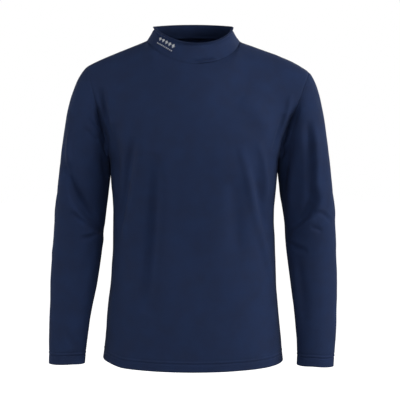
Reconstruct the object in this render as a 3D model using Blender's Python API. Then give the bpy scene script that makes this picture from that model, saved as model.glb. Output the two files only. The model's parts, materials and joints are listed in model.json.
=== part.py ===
"""The long-sleeved mock-neck top of a police uniform, hollow and filled out as when worn.

The wearer faces -Y and +Z is up. The origin lies between the two neck points of the
shoulder seams, where the wearer's shoulders carry the top. Sizes are in metres.

Each cut piece of knitted cloth is one closed wall: front, back, two sleeves and the
doubled collar band. Pieces meet at seam curves, each piece half a seam gap short of it.
"""

import math
from collections import namedtuple

import bpy
from mathutils import Vector

# The wearer's own sides, and the two faces of the body
RIGHT, LEFT = -1, 1
FRONT, BACK = -1, 1

# Cloth
JERSEY = 0.0016
TURNED_HEM = 0.0028
DOUBLED_COLLAR = 0.0028
SEAM_GAP = 0.0003
HEM_DEPTH = 0.021
CUFF_HEM_DEPTH = 0.019
NAVY = (0.016, 0.024, 0.058, 1.0)
JERSEY_ROUGHNESS = 0.85

# How many stretches of cloth the walls are divided into
NECK_COLUMNS = 7
SHOULDER_COLUMNS = 6
TORSO_ROWS = 15
ARMHOLE_ROWS = 12
CAP_RINGS = 8
SLEEVE_RINGS = 14
COLLAR_ROWS = 5

# Body below the armpits: how far it reaches to each side, to the front and to the back
TorsoSection = namedtuple("TorsoSection", "height right left front back")
TORSO_SECTIONS = (
    TorsoSection(-0.676, 0.1940, 0.1920, 0.120, 0.118),
    TorsoSection(-0.636, 0.1893, 0.1867, 0.119, 0.117),
    TorsoSection(-0.586, 0.1846, 0.1820, 0.117, 0.112),
    TorsoSection(-0.534, 0.1794, 0.1777, 0.115, 0.105),
    TorsoSection(-0.482, 0.1735, 0.1746, 0.113, 0.099),
    TorsoSection(-0.430, 0.1708, 0.1721, 0.112, 0.096),
    TorsoSection(-0.379, 0.1700, 0.1702, 0.114, 0.098),
    TorsoSection(-0.335, 0.1702, 0.1718, 0.118, 0.104),
    TorsoSection(-0.290, 0.1732, 0.1760, 0.122, 0.111),
    TorsoSection(-0.248, 0.1745, 0.1775, 0.125, 0.116),
)
SQUARENESS = 2.5
ARMPIT_HEIGHT = -0.248
HEM_HEIGHT = -0.676
HEM_DIP = 0.003

# Neck seam, where the body meets the collar, and the collar's folded top edge
NeckRing = namedtuple("NeckRing", "half_width front side back front_height side_height back_height")
NECK_SEAM = NeckRing(0.0970, -0.080, 0.004, 0.068, -0.0478, -0.0014, 0.0040)
COLLAR_TOP = NeckRing(0.0818, -0.066, -0.002, 0.056, -0.0060, 0.0275, 0.0320)
NECK_DIP_TURN = math.radians(6)
NECK_DIP_POWER = 1.4
COLLAR_FLARE = 1.6
COLLAR_CROWN = 0.0010
NECK_SEAM_LIFT = math.radians(40)

# Shoulder seams and armholes, one row for each side
Shoulder = namedtuple("Shoulder", "side tip_across tip_height droop armpit_across cap_out")
SHOULDERS = (
    Shoulder(RIGHT, 0.2218, -0.0545, 0.07, 0.1762, 0.125),
    Shoulder(LEFT, 0.2405, -0.0660, 0.18, 0.1790, 0.095),
)
TIP_DEPTH = -0.002
DROOP_POWER = 6
ARMHOLE_FRONT = 0.056
ARMHOLE_BACK = 0.060
ARMHOLE_HOLLOW = 0.004

# Rise of the chest and back from the armpits to the neck and shoulders
YOKE_RISE = 0.30
YOKE_SHOULDER_PULL = 0.17
YOKE_NECK_PULL = 0.16
NECK_LEAN = {FRONT: math.radians(42), BACK: math.radians(38)}
SHOULDER_LEAN = math.radians(88)
CORNER_REACH = 0.50
SOFTENING = ((-1.0, 1), (-0.5, 2), (0.0, 3), (0.5, 2), (1.0, 1))
EDGE_PULL_START = 0.35
EDGE_PULL_POWER = 2.0

# Sleeves below the cap: inner and outer reach from the middle of the body, and depth
SleeveSection = namedtuple(
    "SleeveSection", "height right_inner right_outer left_inner left_outer forward half_depth turned"
)
SLEEVE_SECTIONS = (
    SleeveSection(-0.6745, 0.2289, 0.3057, 0.2178, 0.2968, 0.046, 0.0280, 0.000),
    SleeveSection(-0.6450, 0.2259, 0.3053, 0.2182, 0.2989, 0.041, 0.0310, 0.000),
    SleeveSection(-0.5950, 0.2193, 0.3048, 0.2148, 0.3016, 0.033, 0.0360, 0.000),
    SleeveSection(-0.5460, 0.2107, 0.3035, 0.2091, 0.3030, 0.025, 0.0410, 0.000),
    SleeveSection(-0.5035, 0.2026, 0.3021, 0.2036, 0.3032, 0.019, 0.0450, 0.002),
    SleeveSection(-0.4470, 0.1949, 0.2984, 0.1971, 0.3013, 0.013, 0.0490, 0.005),
    SleeveSection(-0.3830, 0.1869, 0.2926, 0.1919, 0.2983, 0.009, 0.0540, 0.010),
    SleeveSection(-0.3280, 0.1806, 0.2867, 0.1838, 0.2932, 0.007, 0.0580, 0.016),
    SleeveSection(-0.2800, 0.1750, 0.2807, 0.1782, 0.2869, 0.006, 0.0600, 0.022),
)
BICEP_HEIGHT = -0.280
CUFF_HEIGHT = {RIGHT: -0.6745, LEFT: -0.6790}
CUFF_SLANT = {RIGHT: 0.0016, LEFT: 0.0034}

# How the cap of the sleeve leaves the armhole and reaches the arm, at the underarm and on top
CAP_OUT_UNDERARM = 0.002
CAP_OUT_POWER = 1.3
CAP_DOWN = (0.03, 0.12)
CAP_SPREAD = 0.03
CAP_LANDING = (0.03, 0.25)

# Soft folds: a trough of cloth from one end to the other, seen from the front or the back
Fold = namedtuple("Fold", "face across_top height_top across_foot height_foot width depth")
TORSO_FOLDS = (
    Fold(FRONT, -0.122, -0.225, -0.148, -0.385, 0.034, 0.0045),
    Fold(FRONT, -0.076, -0.250, -0.094, -0.560, 0.032, 0.0032),
    Fold(FRONT, 0.124, -0.250, 0.152, -0.400, 0.032, 0.0040),
    Fold(FRONT, 0.092, -0.285, 0.088, -0.470, 0.034, 0.0032),
    Fold(BACK, -0.118, -0.215, -0.075, -0.440, 0.036, 0.0045),
    Fold(BACK, 0.120, -0.225, 0.082, -0.460, 0.036, 0.0040),
    Fold(BACK, 0.000, -0.330, 0.010, -0.540, 0.050, 0.0030),
)
SLEEVE_FOLDS = {
    RIGHT: (
        Fold(FRONT, -0.262, -0.290, -0.206, -0.402, 0.026, 0.0045),
        Fold(BACK, -0.190, -0.330, -0.268, -0.395, 0.028, 0.0040),
    ),
    LEFT: (
        Fold(FRONT, 0.270, -0.318, 0.206, -0.402, 0.026, 0.0045),
        Fold(BACK, 0.194, -0.335, 0.270, -0.405, 0.028, 0.0040),
    ),
}


# Curves


def hermite(start, leaving, end, arriving, t):
    """A smooth path from start to end, with its speed at each end."""
    return (
        start * (2 * t**3 - 3 * t**2 + 1)
        + leaving * (t**3 - 2 * t**2 + t)
        + end * (3 * t**2 - 2 * t**3)
        + arriving * (t**3 - t**2)
    )


def mix(low, high, share):
    """The value a share of the way from low to high."""
    return low + (high - low) * share


def at_height(table, height):
    """All columns of a table at one height, on a smooth curve through its rows."""
    rows = sorted(table)
    above = next((i for i, row in enumerate(rows) if row.height >= height), len(rows) - 1)
    above = max(above, 1)
    low, high = rows[above - 1], rows[above]
    span = high.height - low.height
    t = (height - low.height) / span

    def steepness(i):
        before, after = rows[max(i - 1, 0)], rows[min(i + 1, len(rows) - 1)]
        return [(b - a) / (after.height - before.height) for a, b in zip(before, after)]

    values = (
        hermite(a, slope_a * span, b, slope_b * span, t)
        for a, slope_a, b, slope_b in zip(low, steepness(above - 1), high, steepness(above))
    )
    return type(low)(*values)


# Body


def torso_point(height, angle):
    """A point of the body's ring: angle 0 is the front's middle and +90 degrees the left side."""
    section = at_height(TORSO_SECTIONS, height)
    across = section.left if math.sin(angle) > 0 else section.right
    depth = section.front if math.cos(angle) > 0 else section.back
    reach = (
        abs(math.sin(angle) / across) ** SQUARENESS + abs(math.cos(angle) / depth) ** SQUARENESS
    ) ** (-1 / SQUARENESS)
    return Vector((reach * math.sin(angle), -reach * math.cos(angle), height))


def neck_point(ring, angle):
    """A point of a neck ring, whose front dips below its sides and back."""
    forward = math.cos(angle)
    if forward > 0:
        dip = max(0.0, math.cos(angle - NECK_DIP_TURN)) ** NECK_DIP_POWER
        depth = mix(ring.side, ring.front, forward)
        height = mix(ring.side_height, ring.front_height, dip)
    else:
        depth = mix(ring.side, ring.back, -forward)
        height = mix(ring.side_height, ring.back_height, (-forward) ** NECK_DIP_POWER)
    return Vector((ring.half_width * math.sin(angle), depth, height))


def shoulder_point(shoulder, share):
    """A point of the shoulder seam, from the neck (0) to the tip (1)."""
    neck = neck_point(NECK_SEAM, shoulder.side * math.pi / 2)
    fall = (1 - shoulder.droop) * share + shoulder.droop * share**DROOP_POWER
    return Vector(
        (
            mix(neck.x, shoulder.side * shoulder.tip_across, share),
            mix(neck.y, TIP_DEPTH, share),
            mix(neck.z, shoulder.tip_height, fall),
        )
    )


def armhole_point(shoulder, turn):
    """A point of the armhole: turn 0 is the armpit, 90 degrees the front, 180 the shoulder tip."""
    depth = ARMHOLE_FRONT if math.sin(turn) > 0 else ARMHOLE_BACK
    rise = (1 - math.cos(turn)) / 2
    across = mix(shoulder.armpit_across, shoulder.tip_across, rise)
    return Vector(
        (
            shoulder.side * (across - ARMHOLE_HOLLOW * math.sin(turn) ** 2),
            mix(0, TIP_DEPTH, rise) - depth * math.sin(turn),
            mix(ARMPIT_HEIGHT, shoulder.tip_height, rise),
        )
    )


def armhole_outward(shoulder, turn):
    """The way out of the cloth at the armhole seam, from the armhole's middle."""
    half_height = (shoulder.tip_height - ARMPIT_HEIGHT) / 2
    depth = ARMHOLE_FRONT if math.sin(turn) > 0 else ARMHOLE_BACK
    return Vector((0, -math.sin(turn) / depth, -math.cos(turn) / half_height)).normalized()


def column_shares():
    """How far each column of a body panel lies from the middle, from -1 (right) to 1 (left)."""
    half = NECK_COLUMNS + SHOULDER_COLUMNS
    return [column / half for column in range(-half, half + 1)]


NECK_SHARE = NECK_COLUMNS / (NECK_COLUMNS + SHOULDER_COLUMNS)


def ring_angle(face, share):
    """The angle of a body column around the torso: the back's columns run behind."""
    return share * math.pi / 2 if face == FRONT else math.pi - share * math.pi / 2


def neck_angle(face, share):
    """The angle of a body column around the neck."""
    turn = share / NECK_SHARE * math.pi / 2
    return turn if face == FRONT else math.pi - turn


def top_point(face, share):
    """Where a body column ends: on the neck seam, or on a shoulder seam past the neck."""
    if abs(share) <= NECK_SHARE + 1e-9:
        return neck_point(NECK_SEAM, neck_angle(face, share))
    shoulder = SHOULDERS[0] if share < 0 else SHOULDERS[1]
    return shoulder_point(shoulder, (abs(share) - NECK_SHARE) / (1 - NECK_SHARE))


def softened(curve, share, reach):
    """A curve's point, averaged with those up to a reach away on both sides of it."""

    def beyond_edge(place):
        if abs(place) <= 1:
            return curve(place)
        edge = math.copysign(1, place)
        return curve(edge) * 2 - curve(2 * edge - place)

    total = Vector((0, 0, 0))
    for offset, weight in SOFTENING:
        total += beyond_edge(share + offset * reach) * weight
    return total / sum(weight for offset, weight in SOFTENING)


def arrival(face, share):
    """How a body column runs into its end: up and back at the neck, level at the shoulder."""
    sideways = min(1.0, abs(share) / NECK_SHARE)
    lean = mix(NECK_LEAN[face], SHOULDER_LEAN, sideways**2)
    pull = mix(YOKE_NECK_PULL, YOKE_SHOULDER_PULL, sideways)
    return Vector((0, -face * math.sin(lean), math.cos(lean))) * pull


def rising_column(face, share, t):
    """A body column from the armpits' level up to its end, before the armhole pulls it."""
    angle = ring_angle(face, share)
    step = 0.01
    start = torso_point(ARMPIT_HEIGHT, angle)
    leaving = (start - torso_point(ARMPIT_HEIGHT - step, angle)) / step * YOKE_RISE
    reach = CORNER_REACH * (1 - t)
    end = softened(lambda place: top_point(face, place), share, reach)
    arriving = softened(lambda place: arrival(face, place), share, reach)
    return hermite(start, leaving, end, arriving, t)


def yoke_point(face, share, t):
    """A point of the chest or upper back, drawn out to the armhole near its edge."""
    point = rising_column(face, share, t)
    side = -1 if share < 0 else 1
    shoulder = SHOULDERS[0] if side == RIGHT else SHOULDERS[1]
    near = max(0.0, (abs(share) - EDGE_PULL_START) / (1 - EDGE_PULL_START)) ** EDGE_PULL_POWER
    edge = armhole_point(shoulder, -face * math.pi * t)
    return point + (edge - rising_column(face, side, t)) * near


def torso_heights():
    """Heights of the body's rings from the hem up to the armpits, with one at the hem's fold."""
    first = HEM_HEIGHT + HEM_DEPTH
    step = (ARMPIT_HEIGHT - first) / TORSO_ROWS
    return [HEM_HEIGHT] + [first + step * row for row in range(TORSO_ROWS + 1)]


def panel_points(face):
    """The front's or the back's outer points, row by row from the hem to the top."""
    rows = []
    for height in torso_heights()[:-1]:
        rise = (height - HEM_HEIGHT) / (ARMPIT_HEIGHT - HEM_HEIGHT)
        dip = HEM_DIP * (1 - rise) ** 4
        row = [torso_point(height, ring_angle(face, share)) for share in column_shares()]
        for point, share in zip(row, column_shares()):
            point.z -= dip * math.cos(share * math.pi / 2) ** 2
        rows.append(row)
    for step in range(ARMHOLE_ROWS + 1):
        t = step / ARMHOLE_ROWS
        rows.append([yoke_point(face, share, t) for share in column_shares()])
    return rows


# Sleeves


def sleeve_point(shoulder, height, turn, slant):
    """A point of a ring of the arm: turn 0 is the inner side, which sits back, 90 degrees the front."""
    section = at_height(SLEEVE_SECTIONS, height)
    inner = section.right_inner if shoulder.side == RIGHT else section.left_inner
    outer = section.right_outer if shoulder.side == RIGHT else section.left_outer
    middle, half_width = (inner + outer) / 2, (outer - inner) / 2
    return Vector(
        (
            shoulder.side * (middle - half_width * math.cos(turn)),
            section.turned * math.cos(turn) - section.forward - section.half_depth * math.sin(turn),
            height + slant * math.cos(turn),
        )
    )


def cap_point(shoulder, turn, t):
    """A point of the sleeve's cap, from the armhole (0) over the shoulder to the arm (1)."""
    step = 0.01
    upness = (1 - math.cos(turn)) / 2
    end = sleeve_point(shoulder, BICEP_HEIGHT, turn, 0)
    below = sleeve_point(shoulder, BICEP_HEIGHT - step, turn, 0)
    out = mix(CAP_OUT_UNDERARM, shoulder.cap_out, upness**CAP_OUT_POWER)
    leaving = Vector(
        (shoulder.side * out, -CAP_SPREAD * math.sin(turn), -mix(*CAP_DOWN, upness))
    )
    arriving = (below - end) / step * mix(*CAP_LANDING, upness)
    return hermite(armhole_point(shoulder, turn), leaving, end, arriving, t)


def sleeve_turns():
    """Angles of the sleeve's columns, which start at the underarm and match the armhole's."""
    return [math.pi * column / ARMHOLE_ROWS for column in range(2 * ARMHOLE_ROWS)]


def sleeve_points(shoulder):
    """A sleeve's outer points, ring by ring from the armhole to the cuff."""
    cuff = CUFF_HEIGHT[shoulder.side]
    last = cuff + CUFF_HEM_DEPTH
    rings = []
    for ring in range(CAP_RINGS + 1):
        t = ring / CAP_RINGS
        rings.append([cap_point(shoulder, turn, t) for turn in sleeve_turns()])
    heights = [
        mix(BICEP_HEIGHT, last, ring / SLEEVE_RINGS) for ring in range(1, SLEEVE_RINGS + 1)
    ]
    for height in heights + [cuff]:
        drop = (BICEP_HEIGHT - height) / (BICEP_HEIGHT - cuff)
        slant = CUFF_SLANT[shoulder.side] * drop
        rings.append([sleeve_point(shoulder, height, turn, slant) for turn in sleeve_turns()])
    return rings


# Collar


def collar_angles():
    """Angles of the collar's columns, which match the body's columns along the neck seam."""
    quarter = [column / NECK_COLUMNS * math.pi / 2 for column in range(NECK_COLUMNS)]
    return [turn * math.pi / 2 + angle for turn in range(4) for angle in quarter]


def collar_points():
    """The collar's outer points, ring by ring from the neck seam to the folded top edge."""
    rings = []
    for row in range(COLLAR_ROWS + 1):
        t = row / COLLAR_ROWS
        inward = 1 - (1 - t) ** COLLAR_FLARE
        ring = []
        for angle in collar_angles():
            foot, top = neck_point(NECK_SEAM, angle), neck_point(COLLAR_TOP, angle)
            ring.append(
                Vector((mix(foot.x, top.x, inward), mix(foot.y, top.y, inward), mix(foot.z, top.z, t)))
            )
        rings.append(ring)
    return rings


# Walls of cloth


def surface_normals(points, closed):
    """The outward normal at each point of a grid whose rows run up and columns run left."""
    last_row, count = len(points) - 1, len(points[0])
    normals = []
    for r, row in enumerate(points):
        up_from, up_to = points[max(r - 1, 0)], points[min(r + 1, last_row)]
        line = []
        for c in range(count):
            before = (c - 1) % count if closed else max(c - 1, 0)
            after = (c + 1) % count if closed else min(c + 1, count - 1)
            line.append((row[after] - row[before]).cross(up_to[c] - up_from[c]).normalized())
        normals.append(line)
    return normals


def fold_cloth(points, normals, folds):
    """Moves the points of a grid into its soft folds."""
    for fold in folds:
        top = Vector((fold.across_top, fold.height_top))
        foot = Vector((fold.across_foot, fold.height_foot))
        along = foot - top
        for row, row_normals in zip(points, normals):
            for point, normal in zip(row, row_normals):
                facing = max(0.0, fold.face * normal.y)
                place = Vector((point.x, point.z)) - top
                share = min(1.0, max(0.0, place.dot(along) / along.length_squared))
                away = (place - along * share).length / fold.width
                if away < 1 and facing > 0:
                    softness = math.cos(away * math.pi / 2) ** 2 * math.sin(math.pi * share) ** 0.5
                    point -= normal * (fold.depth * softness * math.sqrt(facing))


SeamStation = namedtuple("SeamStation", "outward across")


def seam_stations(curve, outward, closed):
    """At each point of a seam: the way out of the cloth, and the way across the seam."""
    stations = []
    for i, way_out in enumerate(outward):
        before = curve[i - 1] if closed or i else curve[i]
        after = curve[(i + 1) % len(curve)] if closed or i < len(curve) - 1 else curve[i]
        tangent = (after - before).normalized()
        out = (way_out - tangent * way_out.dot(tangent)).normalized()
        stations.append(SeamStation(out, tangent.cross(out)))
    return stations


def neck_stations():
    """Stations of the neck seam, whose way across leads up into the collar."""
    curve = [neck_point(NECK_SEAM, angle) for angle in collar_angles()]
    outward = [
        Vector((math.sin(a) * math.cos(NECK_SEAM_LIFT), -math.cos(a) * math.cos(NECK_SEAM_LIFT),
                math.sin(NECK_SEAM_LIFT)))
        for a in collar_angles()
    ]
    stations = seam_stations(curve, outward, closed=True)
    return [SeamStation(s.outward, -s.across if s.across.z < 0 else s.across) for s in stations]


def wall(name, outer, normals, thickness, closed, crown=0.0):
    """A closed wall of cloth: outer points, inner points a thickness behind them, and rims."""
    rows, count = len(outer), len(outer[0])
    inner = [
        [point - normal * depth for point, normal in zip(row, row_normals)]
        for row, row_normals, depth in zip(outer, normals, thickness)
    ]
    points = [p for row in outer for p in row] + [p for row in inner for p in row]
    inside = rows * count
    ridge = len(points)
    if crown:
        up = Vector((0, 0, crown))
        points += [(p + q) / 2 + up for p, q in zip(outer[-1], inner[-1])]
    spans = count if closed else count - 1
    faces = []
    for r in range(rows - 1):
        for c in range(spans):
            a, b = r * count + c, r * count + (c + 1) % count
            faces.append((a, b, b + count, a + count))
            faces.append((a + count + inside, b + count + inside, b + inside, a + inside))
    for c in range(spans):
        a, b = c, (c + 1) % count
        faces.append((a + inside, b + inside, b, a))
        top_a, top_b = a + inside - count, b + inside - count
        if crown:
            faces.append((top_a, top_b, ridge + b, ridge + a))
            faces.append((ridge + a, ridge + b, top_b + inside, top_a + inside))
        else:
            faces.append((top_a, top_b, top_b + inside, top_a + inside))
    if not closed:
        for r in range(rows - 1):
            a, b = r * count, (r + 1) * count
            faces.append((a, b, b + inside, a + inside))
            a, b = a + count - 1, b + count - 1
            faces.append((b, a, a + inside, b + inside))
    mesh = bpy.data.meshes.new(name)
    mesh.from_pydata([tuple(p) for p in points], [], faces)
    mesh.shade_smooth()
    return bpy.data.objects.new(name, mesh)


def jersey_material(name):
    """Matt navy knitted cloth."""
    material = bpy.data.materials.new(name)
    material.use_nodes = True
    shader = material.node_tree.nodes["Principled BSDF"]
    shader.inputs["Base Color"].default_value = NAVY
    shader.inputs["Roughness"].default_value = JERSEY_ROUGHNESS
    shader.inputs["Metallic"].default_value = 0.0
    return material


# Pieces


def body_panel(name, face):
    """The front or the back, from the hem to the neck and shoulder seams."""
    points = panel_points(face)
    shares = column_shares()
    if face == BACK:
        points = [row[::-1] for row in points]
        shares = shares[::-1]
    seam_points = [[point.copy() for point in row] for row in points]
    normals = surface_normals(points, closed=False)
    fold_cloth(points, normals, [fold for fold in TORSO_FOLDS if fold.face == face])
    normals = surface_normals(points, closed=False)
    half_gap = SEAM_GAP / 2
    last = len(points[0]) - 1
    armhole_start = len(points) - 1 - ARMHOLE_ROWS
    to_face = Vector((0, face, 0)) * half_gap

    # Side seams and armholes
    for c in (0, last):
        share = shares[c]
        shoulder = SHOULDERS[0] if share < 0 else SHOULDERS[1]
        to_middle = Vector((-shoulder.side, 0, 0)) * half_gap
        for r in range(len(points)):
            points[r][c] = seam_points[r][c].copy()
            if r < armhole_start:
                normals[r][c] = Vector((shoulder.side, 0, 0))
                points[r][c] += to_face
            else:
                turn = math.pi * (r - armhole_start) / ARMHOLE_ROWS
                normals[r][c] = armhole_outward(shoulder, -face * turn)
                points[r][c] += to_middle
        points[armhole_start][c] += to_face

    # Neck and shoulder seams
    stations = dict(zip((round(math.degrees(a)) for a in collar_angles()), neck_stations()))
    for c in range(1, last):
        share = shares[c]
        points[-1][c] = seam_points[-1][c].copy()
        if abs(share) <= NECK_SHARE + 1e-9:
            station = stations[round(math.degrees(neck_angle(face, share))) % 360]
            normals[-1][c] = station.outward
            points[-1][c] -= station.across * half_gap
        else:
            shoulder = SHOULDERS[0] if share < 0 else SHOULDERS[1]
            slope = seam_points[-1][c + 1] - seam_points[-1][c - 1]
            out = slope.cross(Vector((0, 1, 0)))
            normals[-1][c] = (out if out.z > 0 else -out).normalized()
        if abs(share) >= NECK_SHARE - 1e-9:
            points[-1][c] += to_face
    for c in (0, last):
        points[-1][c] += to_face

    thickness = [TURNED_HEM] * 2 + [JERSEY] * (len(points) - 2)
    return wall(name, points, normals, thickness, closed=False)


def sleeve(name, shoulder):
    """A sleeve, from the armhole to the turned cuff hem."""
    points = sleeve_points(shoulder)
    if shoulder.side == RIGHT:
        points = [[ring[0]] + ring[:0:-1] for ring in points]
    points = points[::-1]
    normals = surface_normals(points, closed=True)
    fold_cloth(points, normals, SLEEVE_FOLDS[shoulder.side])
    normals = surface_normals(points, closed=True)
    for c, turn in enumerate(sleeve_turns()):
        turn = turn if shoulder.side == LEFT else -turn
        normals[-1][c] = armhole_outward(shoulder, turn)
        points[-1][c] += Vector((shoulder.side, 0, 0)) * SEAM_GAP / 2
    thickness = [TURNED_HEM] * 2 + [JERSEY] * (len(points) - 2)
    return wall(name, points, normals, thickness, closed=True)


def collar(name):
    """The doubled band that stands round the neck, folded along its top edge."""
    points = collar_points()
    normals = surface_normals(points, closed=True)
    for c, station in enumerate(neck_stations()):
        normals[0][c] = station.outward
        points[0][c] += station.across * SEAM_GAP / 2
    thickness = [DOUBLED_COLLAR] * len(points)
    return wall(name, points, normals, thickness, closed=True, crown=COLLAR_CROWN)


def main():
    for old in list(bpy.data.objects):
        bpy.data.objects.remove(old)
    garment = bpy.data.collections.new("police_uniform_top")
    bpy.context.scene.collection.children.link(garment)
    pieces = [
        body_panel("front", FRONT),
        body_panel("back", BACK),
        sleeve("sleeve_right", SHOULDERS[0]),
        sleeve("sleeve_left", SHOULDERS[1]),
        collar("collar"),
    ]
    for piece in pieces:
        piece.data.materials.append(jersey_material(piece.name + "_jersey"))
        garment.objects.link(piece)


main()
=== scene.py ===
# %% [markdown]
# # The long-sleeved mock-neck top of a police uniform
#
# The real thing is a pullover of navy interlock, a smooth and slightly springy knitted cloth.
# A maker cuts five pieces: the front, the back, two set-in sleeves and a band that is folded
# double and stands round the neck. The hem and cuffs are turned up and held with two rows of
# cover stitching. The photograph shows it filled out as if somebody wore it, with open ends.
#
# The imported model has those five walls of cloth already, in metres and in one shared frame.
# This lesson dresses each of them: its outer skin is copied, smoothed, creased in the
# places that the photograph shows, given a thickness and a knitted finish.

# %% Load the imported model
import json
import math
from collections import namedtuple

import bmesh
import bpy
import numpy as np
from mathutils import Matrix, Vector, noise
from mathutils.kdtree import KDTree

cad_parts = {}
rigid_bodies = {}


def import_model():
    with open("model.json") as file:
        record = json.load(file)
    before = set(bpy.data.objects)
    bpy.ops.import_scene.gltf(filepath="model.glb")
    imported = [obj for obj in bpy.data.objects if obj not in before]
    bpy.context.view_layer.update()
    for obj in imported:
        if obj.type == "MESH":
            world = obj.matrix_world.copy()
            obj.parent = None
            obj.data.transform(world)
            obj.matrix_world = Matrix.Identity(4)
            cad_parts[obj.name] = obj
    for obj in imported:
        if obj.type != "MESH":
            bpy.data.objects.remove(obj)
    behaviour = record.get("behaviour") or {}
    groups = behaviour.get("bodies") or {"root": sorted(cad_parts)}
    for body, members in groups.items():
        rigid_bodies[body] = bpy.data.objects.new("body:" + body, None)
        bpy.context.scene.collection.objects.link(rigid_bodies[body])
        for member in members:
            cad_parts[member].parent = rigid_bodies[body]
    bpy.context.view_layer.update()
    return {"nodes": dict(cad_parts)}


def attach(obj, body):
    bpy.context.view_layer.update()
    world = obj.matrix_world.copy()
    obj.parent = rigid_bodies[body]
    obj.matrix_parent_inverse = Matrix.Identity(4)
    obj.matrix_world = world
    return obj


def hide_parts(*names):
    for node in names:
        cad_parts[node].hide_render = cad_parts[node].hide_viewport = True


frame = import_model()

for leftover in ("Cube", "Light", "Camera"):
    if leftover in bpy.data.objects:
        bpy.data.objects.remove(bpy.data.objects[leftover])
print("packed nodes:", ", ".join(sorted(frame["nodes"])))

# %% [markdown]
# ## The camera
# The photograph was taken from straight in front, a little above the hem, with a long lens.
# The ovals of the hem and the cuffs give the height: the view looks about 7 degrees down.

# %% Camera
VIEW_TARGET = Vector((0.0137, 0.0, -0.336))
VIEW_DISTANCE = 2.7
VIEW_DOWN = math.radians(7)
camera = bpy.data.objects.new("camera", bpy.data.cameras.new("camera"))
bpy.context.scene.collection.objects.link(camera)
camera.data.sensor_width = 36
camera.data.lens = 114.9
toward_camera = Vector((0, -math.cos(VIEW_DOWN), math.sin(VIEW_DOWN)))
camera.location = VIEW_TARGET + toward_camera * VIEW_DISTANCE
camera.rotation_euler = (-toward_camera).to_track_quat("-Z", "Y").to_euler()
bpy.context.scene.camera = camera
print("camera stands at", [round(number, 3) for number in camera.location])

# %% [markdown]
# ## Helpers for modelling
# Blender's operators act on whatever is selected, so one helper selects a single piece, one
# opens it in edit mode, and one adds a modifier and applies it at once. Thousands of points
# are moved at a time further down, so they are read as one table of x, y and z.

# %% Selecting, applying and moving points


def only(piece):
    """Leaves edit mode, then selects this piece alone and makes it active."""
    if bpy.context.object and bpy.context.object.mode != "OBJECT":
        bpy.ops.object.mode_set(mode="OBJECT")
    bpy.ops.object.select_all(action="DESELECT")
    piece.select_set(True)
    bpy.context.view_layer.objects.active = piece


def edit(piece, select_by):
    """Opens a piece in edit mode with nothing selected, to select by VERT, EDGE or FACE."""
    only(piece)
    bpy.ops.object.mode_set(mode="EDIT")
    bpy.ops.mesh.select_mode(type=select_by)
    bpy.ops.mesh.select_all(action="DESELECT")


def apply_modifier(piece, kind, **settings):
    """Adds a modifier to a piece with its settings, and applies it."""
    modifier = piece.modifiers.new(kind.title(), kind)
    for name, value in settings.items():
        setattr(modifier, name, value)
    only(piece)
    bpy.ops.object.modifier_apply(modifier=modifier.name)


def points_of(piece):
    """The places and the normals of a piece's points, as two tables of x, y and z."""
    count = len(piece.data.vertices)
    places, normals = np.empty(count * 3), np.empty(count * 3)
    piece.data.vertices.foreach_get("co", places)
    piece.data.vertex_normals.foreach_get("vector", normals)
    return places.reshape(-1, 3), normals.reshape(-1, 3)


def move_points(piece, places):
    """Moves every point of a piece to its new place."""
    piece.data.vertices.foreach_set("co", places.ravel())
    piece.data.update()


def soft_step(value):
    """Rises smoothly from 0 to 1 as the value does."""
    value = np.clip(value, 0, 1)
    return value * value * (3 - 2 * value)


# %% [markdown]
# ## Taking the outer skin of a node
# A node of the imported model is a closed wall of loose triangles. Merged and paired into quads
# it is a tidy grid again. Only the faces of its rims have edges as short as the cloth is
# thick, so with those deleted the outer skin is loose from the inner one and can be kept alone.

# %% Skin of a node
MERGE = 0.00002
RIM_WIDTH = 0.0035
EVEN_GRID = 1.5
NARROW_BAND_GRID = 1.15


def take_skin(node, name, spot, evenness=EVEN_GRID):
    """Copies a node and keeps the skin that runs on smoothly from its face at a spot."""
    piece = bpy.data.objects.new(name, frame["nodes"][node].data.copy())
    bpy.context.scene.collection.objects.link(piece)
    piece.data.materials.clear()
    edit(piece, "FACE")
    bpy.ops.mesh.select_all(action="SELECT")
    bpy.ops.mesh.remove_doubles(threshold=MERGE)
    bpy.ops.mesh.select_all(action="DESELECT")
    bpy.ops.object.mode_set(mode="OBJECT")
    place = [vertex.co for vertex in piece.data.vertices]
    for face in piece.data.polygons:
        face.select = any((place[a] - place[b]).length < RIM_WIDTH for a, b in face.edge_keys)
    bpy.ops.object.mode_set(mode="EDIT")
    bpy.ops.mesh.delete(type="FACE")
    bpy.ops.object.mode_set(mode="OBJECT")
    min(piece.data.polygons, key=lambda face: (face.center - spot).length).select = True
    bpy.ops.object.mode_set(mode="EDIT")
    bpy.ops.mesh.select_linked()
    bpy.ops.mesh.select_all(action="INVERT")
    bpy.ops.mesh.delete(type="FACE")
    bpy.ops.mesh.select_all(action="SELECT")
    bpy.ops.mesh.tris_convert_to_quads(
        face_threshold=math.pi, shape_threshold=math.pi, topology_influence=evenness
    )
    bpy.ops.object.mode_set(mode="OBJECT")
    corners = [len(face.vertices) for face in piece.data.polygons]
    print(f"{name}: {corners.count(4)} quads and {corners.count(3)} triangles of skin")
    return piece


panels = {
    "front": take_skin("front", "front_panel", Vector((0, -0.13, -0.35))),
    "back": take_skin("back", "back_panel", Vector((0, 0.13, -0.35))),
    "sleeve_right": take_skin("sleeve_right", "right_sleeve", Vector((-0.32, -0.01, -0.4))),
    "sleeve_left": take_skin("sleeve_left", "left_sleeve", Vector((0.32, -0.01, -0.4))),
    "collar": take_skin("collar", "neck_band", Vector((0, -0.10, -0.03)), NARROW_BAND_GRID),
}

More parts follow.
